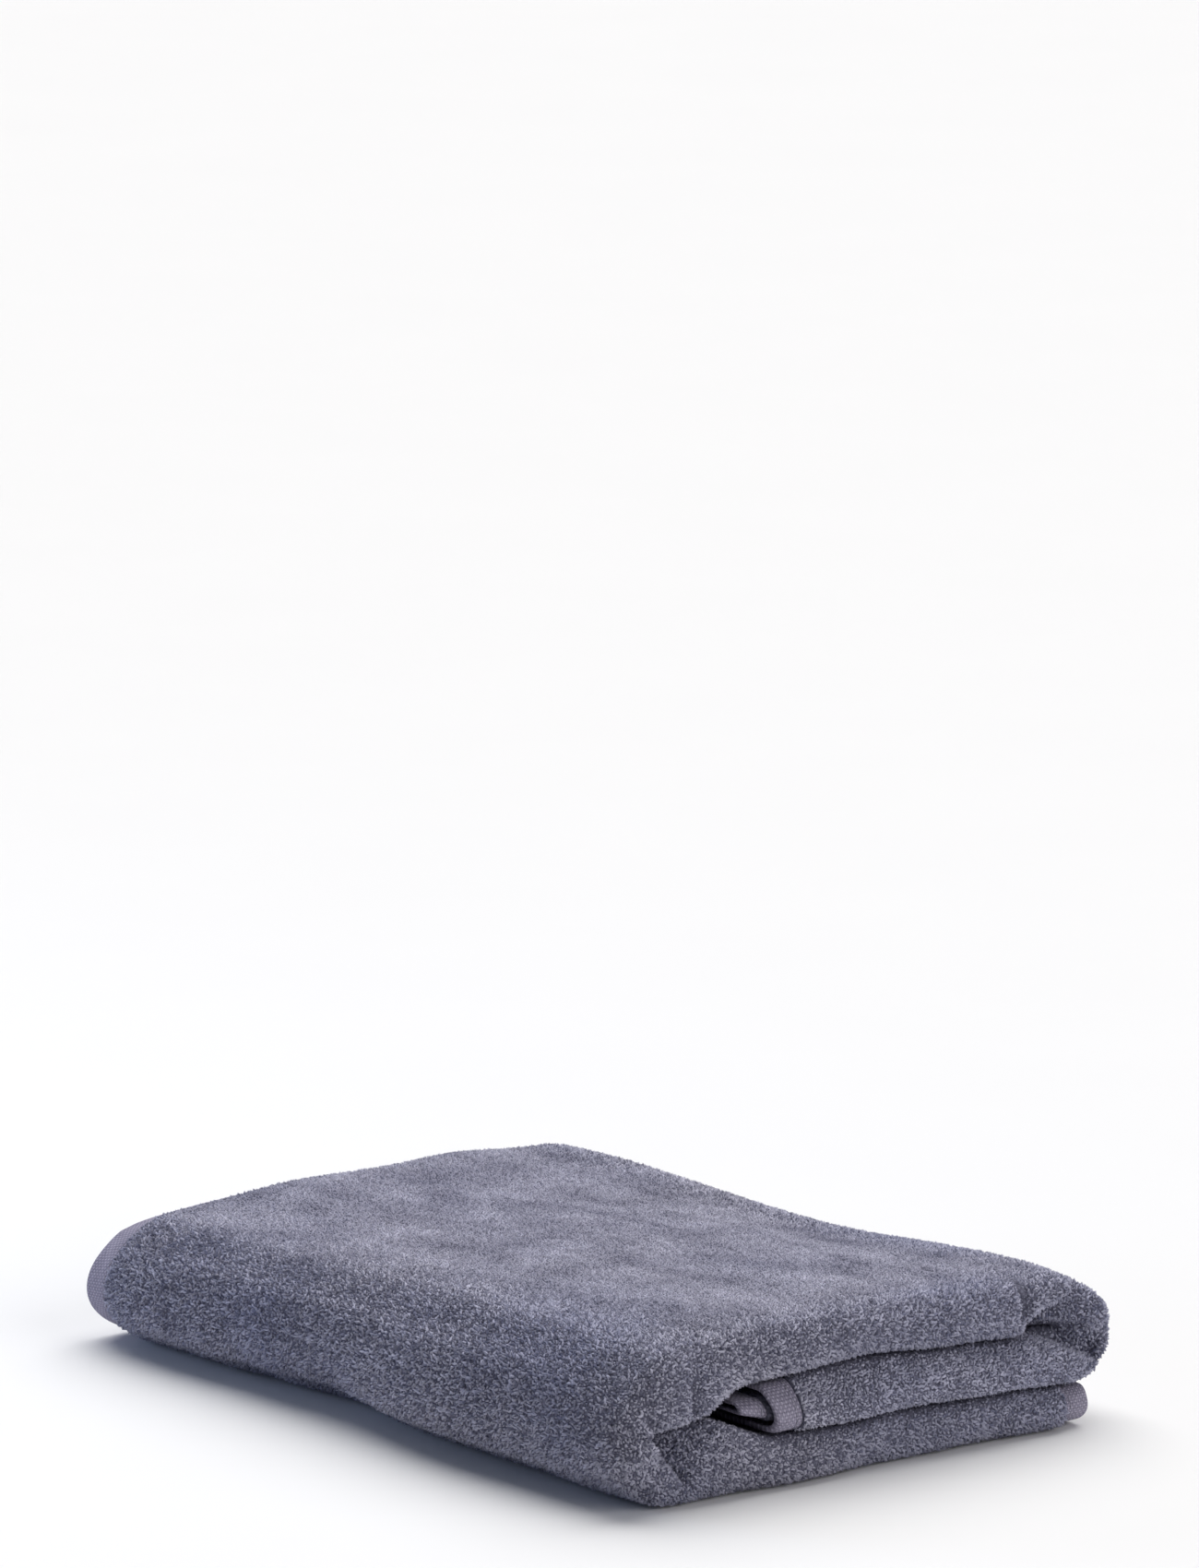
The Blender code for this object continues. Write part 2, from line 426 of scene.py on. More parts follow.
class FlatPath:
    """A planar path of straight runs and half turns, read by arc length."""

    def __init__(self, start: tuple[float, float], heading: tuple[float, float]) -> None:
        """Starts a path.

        Args:
            start: its first point.
            heading: the unit direction in which it sets out.
        """
        self.pieces: list[tuple[float, float, np.ndarray, np.ndarray, float]] = []
        self.length = 0.0
        self.point = np.array(start, float)
        self.heading = np.array(heading, float)

    def straight(self, run: float) -> None:
        """Adds a straight run.

        Args:
            run: its length.
        """
        self.pieces.append((self.length, run, self.point, self.heading, 0.0))
        self.point = self.point + self.heading * run
        self.length += run

    def half_turn(self, radius: float, way: int) -> None:
        """Adds half a circle.

        Args:
            radius: its radius.
            way: 1 for a turn to the left, -1 for one to the right.
        """
        run = math.pi * radius
        self.pieces.append((self.length, run, self.point, self.heading, way / radius))
        across = way * np.array((-self.heading[1], self.heading[0]))
        self.point = self.point + 2 * radius * across
        self.heading = -self.heading
        self.length += run

    def start_of(self, piece: Across | Along) -> float:
        """Gives the arc length at which a piece begins."""
        return self.pieces[piece][0]

    def at(self, distance: np.ndarray) -> tuple[np.ndarray, np.ndarray, np.ndarray, np.ndarray]:
        """Gives points and unit headings.

        Args:
            distance: arc lengths; those past the ends carry on straight.

        Returns:
            The two coordinates of the points, then those of the headings.
        """
        outs = [np.zeros_like(distance) for _ in range(4)]
        last = len(self.pieces) - 1
        for number, (begin, run, point, heading, bend) in enumerate(self.pieces):
            here = (distance >= begin) | (number == 0)
            if number < last:
                here &= distance < begin + run
            along = distance[here] - begin
            left = (-heading[1], heading[0])
            if bend:
                forth, side = np.sin(along * bend) / bend, (1 - np.cos(along * bend)) / bend
                turn = np.cos(along * bend), np.sin(along * bend)
            else:
                forth, side = along, 0 * along
                turn = np.ones_like(along), 0 * along
            for axis in (0, 1):
                outs[axis][here] = point[axis] + heading[axis] * forth + left[axis] * side
                outs[axis + 2][here] = heading[axis] * turn[0] + left[axis] * turn[1]
        return tuple(outs)


def ease(value: np.ndarray) -> np.ndarray:
    """Goes smoothly from 0 to 1 while value does, and is level beyond."""
    value = np.clip(value, 0.0, 1.0)
    return value * value * (3 - 2 * value)


def level_between(place: np.ndarray, levels: list[np.ndarray], knots: list[float]) -> np.ndarray:
    """Carries heights through a rising curve.

    Args:
        place: heights before.
        levels: for each knot, the height there afterwards, one for each place.
        knots: heights before at which the levels are given, the lowest first.

    Returns:
        Heights after. They keep their order, so that no ply crosses another.
    """
    slopes = [
        (levels[n + 1] - levels[n]) / (knots[n + 1] - knots[n]) for n in range(len(knots) - 1)
    ]
    tangents = [slopes[0]]
    for before, after in zip(slopes, slopes[1:]):
        tangents.append(2 * before * after / np.maximum(before + after, 1e-6))
    tangents.append(slopes[-1])
    result = levels[0] + (place - knots[0]) * tangents[0]
    for n in range(len(slopes)):
        gap = knots[n + 1] - knots[n]
        t = np.clip((place - knots[n]) / gap, 0.0, 1.0)
        curve = (
            (1 + 2 * t) * (1 - t) ** 2 * levels[n]
            + t * (1 - t) ** 2 * gap * tangents[n]
            + t * t * (3 - 2 * t) * levels[n + 1]
            + t * t * (t - 1) * gap * tangents[n + 1]
        )
        result = np.where(place >= knots[n], curve, result)
    over = place - knots[-1]
    return np.where(over > 0, levels[-1] + over * tangents[-1], result)


@dataclass(frozen=True)
class Groove:
    """A crease pressed into the rolled end, between two points of it seen from the front.

    The cloth comes back out over the width on the side to the left of the crease's run, and over
    the trail on the other side.
    """

    start: tuple[float, float]
    end: tuple[float, float]
    width: float
    depth: float
    trail: float = 0.0

    def measure(self, x: np.ndarray, z: np.ndarray) -> tuple[np.ndarray, np.ndarray, np.ndarray]:
        """Measures places against the crease's line.

        Args:
            x: places across the towel.
            z: their heights.

        Returns:
            The share of the run that they lie along, how far they are to its left, and how far
            past its ends.
        """
        run_x, run_z = self.end[0] - self.start[0], self.end[1] - self.start[1]
        run = math.hypot(run_x, run_z)
        along = ((x - self.start[0]) * run_x + (z - self.start[1]) * run_z) / run
        aside = ((z - self.start[1]) * run_x - (x - self.start[0]) * run_z) / run
        return along / run, aside, np.maximum(-along, along - run).clip(0.0)

    def push(self, x: np.ndarray, z: np.ndarray) -> np.ndarray:
        """Gives how far the crease pushes the rolled end in.

        Args:
            x: places across the towel.
            z: their heights.

        Returns:
            Depths, the greatest at the crease's start.
        """
        share, aside, past = self.measure(x, z)
        width = np.where(aside < 0, self.trail or self.width, self.width)
        fade = 1 - 0.45 * np.clip(share, 0.0, 1.0)
        return self.depth * fade * np.exp(-((aside / width) ** 2) - (past / (3 * MM)) ** 2)

    def grip(self, x: np.ndarray, z: np.ndarray) -> np.ndarray:
        """Gives how tightly the crease shuts.

        Args:
            x: places across the towel.
            z: their heights.

        Returns:
            1 on the crease's line, 0 away from it.
        """
        _, aside, past = self.measure(x, z)
        return np.exp(-((aside / (1.7 * MM)) ** 2) - (past / (2 * MM)) ** 2)


def hump(value: np.ndarray, middle: float, width: float) -> np.ndarray:
    """Gives a smooth hump: 1 at the middle, about a third a width away from it."""
    return np.exp(-(((value - middle) / width) ** 2))


# Pressed in at the right end, round the pocket, and at the front left, round the tuck.
CREASES = (
    Groove((0.0885, 0.0460), (0.1165, 0.0575), 1.8 * MM, 19.0 * MM, 9.0 * MM),
    Groove((0.0900, 0.0440), (0.1150, 0.0405), 1.4 * MM, 6.0 * MM, 3.0 * MM),
    Groove((0.0900, 0.0415), (0.1205, 0.0270), 8.0 * MM, 19.0 * MM, 1.5 * MM),
    Groove((0.0825, 0.0490), (0.0840, 0.0600), 2.5 * MM, 3.5 * MM),
    Groove((-0.1050, 0.0290), (-0.0820, 0.0345), 1.4 * MM, 14.0 * MM, 7.0 * MM),
    Groove((-0.1050, 0.0285), (-0.0945, 0.0125), 8.0 * MM, 12.0 * MM, 1.4 * MM),
    Groove((-0.1040, 0.0300), (-0.1115, 0.0385), 2.5 * MM, 5.0 * MM),
    Groove((-0.0885, 0.0385), (-0.0890, 0.0490), 2.5 * MM, 4.0 * MM),
)
CREASE_MOST, CREASE_FADE = 26 * MM, 30 * MM

# The rolled end's heights across the towel, in millimetres: for each place, the joint between the
# lowest and the tucked third, the joint between that and the top third, and the top.
PROFILE = np.array(
    [
        (-128, 20.0, 40.0, 63.0),
        (-118, 24.0, 35.0, 63.5),
        (-107, 27.6, 29.4, 64.0),
        (-99, 29.2, 30.6, 64.5),
        (-90, 31.0, 32.4, 65.0),
        (-80, 33.2, 34.9, 65.7),
        (-73, 31.5, 38.4, 66.0),
        (-64, 28.2, 41.8, 66.5),
        (-57, 25.0, 42.9, 67.0),
        (-45, 20.8, 43.6, 67.4),
        (-4, 20.0, 45.2, 67.5),
        (14, 21.0, 45.5, 67.5),
        (60, 20.4, 41.8, 65.5),
        (78, 19.8, 39.8, 64.2),
        (95, 18.2, 39.5, 63.0),
        (128, 17.0, 39.5, 61.0),
    ]
)


@dataclass
class FoldedCloth:
    """The rule that carries a place of the flat cloth into the folded towel.

    Attributes:
        width: the folded towel's size across.
        length: its size along.
        height: its size upwards at the rolled end.
        ply_gap: the room between two plies.
        setback: how far the lowest third's edge lies inside the right side.
        tuck_edge: where the edge of the tucked third's outer plies lies across.
        slip: how far the inner plies have slipped round the pad.
        inner_setback: how far the inner hem lies inside the back.
        end_hem: the depth of the hems on the short edges.
        side_hem: the depth of the hems on the long edges.
        thread: the sewing thread's radius.
        piece_gap: the room between a hem and the pile cloth.
        seam_inset: from a hem's inner edge to its seam.
        creases: what is pressed into the rolled end.
    """

    width: float = 0.255
    length: float = 0.365
    height: float = 0.066
    ply_gap: float = 0.6 * MM
    setback: float = 10 * MM
    tuck_edge: float = -48 * MM
    slip: float = 14 * MM
    inner_setback: float = 4 * MM
    end_hem: float = 18 * MM
    side_hem: float = 14 * MM
    thread: float = 0.3 * MM
    piece_gap: float = 0.4 * MM
    seam_inset: float = 3 * MM
    creases: tuple[Groove, ...] = CREASES

    def __post_init__(self) -> None:
        """Works out the plies and lays the two paths."""
        self.pitch = (self.height + self.ply_gap) / 12
        self.pile = self.pitch - self.ply_gap
        self.hem = self.pile - 2 * (self.piece_gap + 2 * self.thread) - 0.1 * MM
        self.panel = 4 * self.pitch
        self.outer = 1.5 * self.pitch
        self.inner = 0.5 * self.pitch
        self.half = self.outer + self.pile / 2
        left = -self.width / 2 + self.panel + self.half
        right = self.width / 2 - self.panel / 2 - self.half
        begin = self.width / 2 - self.setback
        self.across = FlatPath((begin, self.half), (-1.0, 0.0))
        self.across.straight(begin - left)
        self.across.half_turn(self.panel, -1)
        self.across.straight(right - left)
        self.across.half_turn(self.panel / 2, -1)
        self.across.straight(right - self.tuck_edge)
        near = -self.length / 2 + self.half
        far = self.length / 2 - self.inner - self.pile / 2
        self.along = FlatPath((self.length / 2, self.outer), (-1.0, 0.0))
        self.along.straight(self.length / 2 - near)
        self.along.half_turn(self.outer, 1)
        self.along.straight(far - near)
        self.along.half_turn(self.inner, 1)
        self.along.straight(far - near)
        self.along.half_turn(self.inner, -1)
        self.along.straight(self.length / 2 - self.inner_setback - near)

    @property
    def flat(self) -> tuple[float, float]:
        """Gives the cloth's flat width and length."""
        return self.across.length, self.along.length

    def slipped(self, along: np.ndarray) -> np.ndarray:
        """Gives how far the cloth has slipped round the pad at these rows."""
        begin, end = self.along.start_of(Along.FORTH), self.along.start_of(Along.BEND)
        return self.slip * np.clip((along - begin) / (end - begin), 0.0, 1.0)

    def calm(self, across: np.ndarray, along: np.ndarray) -> np.ndarray:
        """Gives how flat the pile has been pressed, and where the materials paint less shade and
        less cool light.

        Args:
            across: arc lengths round the pad.
            along: arc lengths along the plies.

        Returns:
            1 on the top, 0 on the sides and the rolls.
        """
        top, fold = self.across.start_of(Across.TOP), self.across.start_of(Across.FOLD)
        roll = self.along.start_of(Along.ROLL)
        reach = 40 * MM - 34 * MM * np.clip(along / roll, 0.0, 1.0)
        left = ease((across - top + reach) / (66 * MM))
        right = ease((fold + 6 * MM - across) / (26 * MM))
        return left * right * ease((roll + 4 * MM - along) / (34 * MM))

    def fair(self, across: np.ndarray) -> np.ndarray:
        """Gives how much painted light the pile gets: 1 on the tucked third, 0 elsewhere. It
        lightens the middle roll, which the top roll shades.
        """
        return ease((across - self.across.start_of(Across.TUCKED) + 10 * MM) / (25 * MM))

    def place(self, across: np.ndarray, along: np.ndarray, lift: np.ndarray) -> np.ndarray:
        """Carries places of the flat cloth into the folds.

        Args:
            across: arc lengths round the pad.
            along: arc lengths along the plies.
            lift: heights over the cloth's middle, towards its outer face.

        Returns:
            An array of points.
        """
        y, ply, way_y, way_ply = self.along.at(along)
        y, ply = y + way_ply * lift, ply - way_y * lift
        x, z, way_x, way_z = self.across.at(across)
        thin = ease((y - self.length / 2 + 30 * MM) / (30 * MM))
        ply = ply * (1 - 0.10 * thin)
        x, z = x - way_z * ply, z + way_x * ply
        return self.settle(x, y, z)

    def levels(self, x: np.ndarray, y: np.ndarray) -> list[np.ndarray]:
        """Gives the heights of the panels' faces.

        Args:
            x: places across the towel.
            y: places along it.

        Returns:
            The heights of the floor, the two joints between panels and the top.
        """
        deep, aside = (y + self.length / 2) / MM, x / MM
        reach = np.clip(deep / 365, 0.0, 1.0)
        shrink = 1 - 0.205 * reach - 0.07 * ease((deep - 335) / 32) ** 1.5
        lower, upper, top = (
            np.interp(x, PROFILE[:, 0] * MM, PROFILE[:, n]) * shrink for n in (1, 2, 3)
        )
        # Behind the rolled end the wrap's side is plain, with its joints at steady heights.
        behind = ease((deep - 14) / 36) * ease((-aside - 96) / 12)
        lower = lower + behind * (20.5 * shrink - lower)
        upper = upper + behind * (42.0 * shrink - upper)
        # The top droops over the rolls, sags at the right, waves a little and swells at the back.
        droop = 2.2 * (1 - ease(deep / 45))
        sag = 3.2 * hump(deep, 165, 75) * ease((aside - 20) / 80)
        wave = 0.9 * np.sin(x * 41 + 0.6) * np.sin(y * 23 + x * 12 + 1.1)
        wave += 0.5 * np.sin(x * 83 - y * 31 + 2.0)
        swell = 3.4 * hump(aside, 45, 95) * ease((deep - 235) / 110)
        top = top - droop - sag + swell + wave * ease(deep / 30)
        upper = upper - 0.3 * droop - 0.5 * sag + 0.5 * wave
        # Inside the wrap the slack thirds close on each other.
        slack = 0.42 * ease((-aside - 44) / 14) * ease((deep - 18) / 60) * ease((352 - deep) / 50)
        slack = slack * ease((aside + 122) / 14)
        hollow = slack * (upper - lower)
        return [0 * x, *(row * MM for row in (lower + hollow, upper - hollow, top))]

    def left_bulge(self, x: np.ndarray, y: np.ndarray, up: np.ndarray) -> tuple[np.ndarray, ...]:
        """Gives how the wrap's side bulges and is pinched.

        Args:
            x: places across the towel.
            y: places along it.
            up: heights, as shares of the towel's.

        Returns:
            How far the side moves right, and how far it rises.
        """
        side = ease((-x - 0.080) / 0.040)
        low = (1 - up) ** 1.3
        pinch = hump(y, 0.030, 0.034) + 0.35 * hump(y, 0.080, 0.014)
        ripple = 1.3 * MM * np.sin(y * 29 + 0.8) + 0.8 * MM * np.sin(y * 61 + 2.3)
        bulge = side * np.sin(up * math.pi) * ripple
        foot = low * (10.0 * MM * pinch - 0.5 * MM * hump(y, -0.035, 0.028))
        bulge = bulge + side * (foot + 2.0 * MM * up**2)
        reach = np.clip(y + self.length / 2, 0.0, None) / self.length
        return bulge + side * 6.5 * MM * reach**2, side * low * 1.6 * MM * pinch

    def right_bulge(
        self, x: np.ndarray, y: np.ndarray, up: np.ndarray, z: np.ndarray
    ) -> np.ndarray:
        """Gives how far the fold at the right stands out.

        Args:
            x: places across the towel.
            y: places along it.
            up: their heights in the ideal fold, as shares of the towel's.
            z: their heights once settled.

        Returns:
            How far they move right.
        """
        full = 4.0 * ease((up - 0.2) / 0.4) + 3.5 * hump(z, 0.033, 0.012) - 2.8
        edge = np.sin(up * math.pi) * 1.1 * np.sin(y * 37 + 1.9) + full
        return ease((x - 0.085) / 0.035) * edge * MM

    def settle(self, x: np.ndarray, y: np.ndarray, z: np.ndarray) -> np.ndarray:
        """Lets the ideal fold sag, puff and crease as cloth does.

        Args:
            x: places in the ideal fold, across.
            y: along.
            z: up.

        Returns:
            An array of points.
        """
        deep = np.clip(y + self.length / 2, 0.0, None)
        up = np.clip(z / self.height, 0.0, 1.0)
        knots = [0.0, self.panel, 2 * self.panel, self.height]
        after = level_between(z, self.levels(x, y), knots)
        roll = 1.3 * MM * np.sin(x * 47 + up * 5) + 0.8 * MM * np.sin(x * 101 - up * 9 + 1.7)
        middle = np.exp(-(((z - 1.5 * self.panel) / (0.55 * self.panel)) ** 4))
        tilt = 12.0 * MM * (z / self.panel - 1.5) - 0.5 * MM
        push = np.exp(-deep / (28 * MM)) * (roll + middle * tilt)
        bulge, rise = self.left_bulge(x, y, up)
        after = after + rise
        x = x + bulge + self.right_bulge(x, y, up, after)
        pressed = sum(crease.push(x, after) for crease in self.creases)
        pressed = CREASE_MOST * (1 - np.exp(-pressed / CREASE_MOST))
        push = push + pressed * np.exp(-deep / CREASE_FADE)
        return np.stack([x, y + push, after], axis=-1)


# ---- Meshes -------------------------------------------------------------------------------------


def put(name: str, data: bpy.types.ID) -> bpy.types.Object:
    """Makes an object and puts it into the scene.

    Args:
        name: the object's name.
        data: its mesh, light or camera.

    Returns:
        The object.
    """
    made = bpy.data.objects.new(name, data)
    bpy.context.scene.collection.objects.link(made)
    return made


def new_object(
    name: str, points: np.ndarray, faces: list, material: bpy.types.Material | None = None
) -> bpy.types.Object:
    """Makes an object of a mesh at the origin.

    Args:
        name: the object's name.
        points: its vertices.
        faces: its faces, or its edges where they have two corners.
        material: what it is made of.

    Returns:
        The object.
    """
    mesh = bpy.data.meshes.new(name)
    edges = faces if len(faces[0]) == 2 else []
    mesh.from_pydata(points.tolist(), edges, [] if edges else faces)
    if material:
        mesh.materials.append(material)
    mesh.polygons.foreach_set("use_smooth", np.ones(len(mesh.polygons), bool))
    mesh.update()
    return put(name, mesh)


def quads(index: np.ndarray) -> np.ndarray:
    """Gives the four-cornered faces of a grid of vertices, by their numbers."""
    corners = [index[:-1, :-1], index[1:, :-1], index[1:, 1:], index[:-1, 1:]]
    return np.stack(corners, -1).reshape(-1, 4)


def store(piece: bpy.types.Object, name: str, values: np.ndarray) -> None:
    """Writes one number for each vertex of a piece.

    Args:
        piece: the piece.
        name: what materials and tools know the number by.
        values: the numbers.
    """
    layer = piece.data.attributes.new(name, "FLOAT", "POINT")
    layer.data.foreach_set("value", values.astype(np.float32).ravel())


def dense(limits: list[tuple[float, float, float]]) -> np.ndarray:
    """Cuts neighbouring stretches into steps.

    Args:
        limits: (begin, end, step) for each stretch, in order.

    Returns:
        Every step's end, first and last included.
    """
    cuts = [np.array([limits[0][0]])]
    for begin, end, step in limits:
        count = max(1, round((end - begin) / step))
        cuts.append(begin + (end - begin) * np.arange(1, count + 1) / count)
    return np.concatenate(cuts)


def eased_edge(distance: np.ndarray, radius: float, least: float) -> np.ndarray:
    """Gives the share of its full thickness that cloth has near an edge.

    Args:
        distance: how far from the edge.
        radius: where it reaches its full thickness.
        least: its share at the very edge.

    Returns:
        Shares up to 1.
    """
    t = np.clip(distance / radius, 0.0, 1.0)
    return least + (1 - least) * np.sqrt(1 - (1 - t) ** 2)


class Slab:
    """A closed slab of cloth over a grid of flat places."""

    def __init__(self, cloth: FoldedCloth, across: np.ndarray, along: np.ndarray) -> None:
        """Keeps the grid: one row of across for each value of along."""
        self.cloth, self.across = cloth, across
        self.along = np.repeat(along[:, None], across.shape[1], axis=1)

    def build(self, name: str, half: np.ndarray, material: bpy.types.Material) -> bpy.types.Object:
        """Makes the slab.

        Args:
            name: the object's name.
            half: half the thickness at each place of the grid.
            material: what it is made of.

        Returns:
            The object, with its flat coordinates in the UV map "flat".
        """
        rows, columns = self.across.shape
        faces_of = [
            self.cloth.place(self.across, self.along, side * half).reshape(-1, 3)
            for side in (1, -1)
        ]
        points = np.concatenate(faces_of)
        index = np.arange(rows * columns).reshape(rows, columns)
        upper = quads(index)
        lower = upper[:, ::-1] + rows * columns
        rim = np.concatenate([index[0, :-1], index[:-1, -1], index[-1, :0:-1], index[:0:-1, 0]])
        after = np.roll(rim, -1)
        walls = np.stack([rim, after, after + rows * columns, rim + rows * columns], -1)
        faces = np.concatenate([upper, lower, walls])
        made = new_object(name, points, faces.tolist(), material)
        flat = np.stack([self.across, self.along], -1).reshape(-1, 2)
        flat = np.concatenate([flat, flat])
        layer = made.data.uv_layers.new(name="flat")
        corner = np.empty(len(made.data.loops), np.int32)
        made.data.loops.foreach_get("vertex_index", corner)
        layer.data.foreach_set("uv", flat[corner].astype(np.float32).ravel())
        return made


# ---- Geometry Nodes -----------------------------------------------------------------------------


class NodeTool(NodeTree):
    """A Geometry Nodes tree with named inputs, run once on an object."""

    def __init__(self, name: str, inputs: dict[str, tuple[str, object]]) -> None:
        """Starts a tree.

        Args:
            name: the tree's name.
            inputs: for each named input, its kind (Float, Int or Material) and its value.
        """
        super().__init__(bpy.data.node_groups.new(name, "GeometryNodeTree"))
        self.values = {}
        face = self.tree.interface
        face.new_socket("Geometry", in_out="INPUT", socket_type="NodeSocketGeometry")
        for label, (kind, value) in inputs.items():
            socket = face.new_socket(label, in_out="INPUT", socket_type=f"NodeSocket{kind}")
            self.values[socket.identifier] = value
        face.new_socket("Geometry", in_out="OUTPUT", socket_type="NodeSocketGeometry")
        self.inputs = self.node("NodeGroupInput", {}, {}).outputs
        self.output = self.node("NodeGroupOutput", {}, {})

    def socket(
        self, kind: str, inputs: dict[object, object], output: object = 0, **settings: object
    ) -> bpy.types.NodeSocket:
        """Makes a node and gives one output of it.

        Args:
            kind: the node's type.
            inputs: values or links, by socket name or number.
            output: the output's name or number.
            settings: the node's properties.

        Returns:
            The output's socket.
        """
        return self.node(kind, settings, inputs).outputs[output]

    def number(self, name: str) -> Signal:
        """Gives a named input for arithmetic."""
        return Signal(self, self.inputs[name])

    def turned(self, x: object, y: object, z: object) -> bpy.types.NodeSocket:
        """Puts three numbers together."""
        return self.socket("ShaderNodeCombineXYZ", {"X": x, "Y": y, "Z": z})

    def close(self, geometry: bpy.types.NodeSocket, material: bpy.types.NodeSocket) -> None:
        """Ends the tree with real, smooth geometry of one material.

        Args:
            geometry: what the tree has made.
            material: the material's input.
        """
        real = self.socket("GeometryNodeRealizeInstances", {"Geometry": geometry})
        smooth = self.socket("GeometryNodeSetShadeSmooth", {"Geometry": real})
        inputs = {"Geometry": smooth, "Material": material}
        self.connect(self.output.inputs[0], self.socket("GeometryNodeSetMaterial", inputs))

    def run(self, emitter: bpy.types.Object, name: str) -> bpy.types.Object:
        """Runs the tree on an object, which it uses up.

        Args:
            emitter: the object that carries the modifier.
            name: the result's name.

        Returns:
            A new object with a plain mesh.
        """
        modifier = emitter.modifiers.new(name, "NODES")
        modifier.node_group = self.tree
        for identifier, value in self.values.items():
            modifier[identifier] = value
        emitter.update_tag()
        graph = bpy.context.evaluated_depsgraph_get()
        mesh = bpy.data.meshes.new_from_object(emitter.evaluated_get(graph))
        old = emitter.data
        bpy.data.objects.remove(emitter)
        bpy.data.meshes.remove(old)
        bpy.data.node_groups.remove(self.tree)
        mesh.name = name
        return put(name, mesh)


def stitch_tool(
    material: bpy.types.Material, length: float, radius: float, pitch: float
) -> NodeTool:
    """Makes the tree that sews a row of stitches along a line.

    Args:
        material: the thread's material.
        length: a stitch's length.
        radius: the thread's radius.
        pitch: from one stitch to the next.

    Returns:
        The tree.
    """
    inputs = {
        "Length": ("Float", length),
        "Radius": ("Float", radius),
        "Pitch": ("Float", pitch),
        "Thread": ("Material", material),
    }
    tool = NodeTool("stitches", inputs)
    line = tool.socket("GeometryNodeMeshToCurve", {"Mesh": tool.inputs["Geometry"]})
    inputs = {"Curve": line, "Length": tool.inputs["Pitch"]}
    spots = tool.node("GeometryNodeCurveToPoints", {"mode": "LENGTH"}, inputs).outputs
    inputs = {"Segments": 6, "Rings": 5, "Radius": tool.inputs["Radius"]}
    ball = tool.socket("GeometryNodeMeshUVSphere", inputs, "Mesh")
    inputs = {
        "Points": spots["Points"],
        "Instance": ball,
        "Rotation": spots["Rotation"],
        "Scale": tool.turned(1.0, 1.0, tool.number("Length") / tool.number("Radius") * 0.5),
    }
    tool.close(tool.socket("GeometryNodeInstanceOnPoints", inputs), tool.inputs["Thread"])
    return tool


@dataclass(frozen=True)
class Loops:
    """What sets the look of a patch of pile: how tall and how slanting its loops are."""

    size: float
    tilt: float


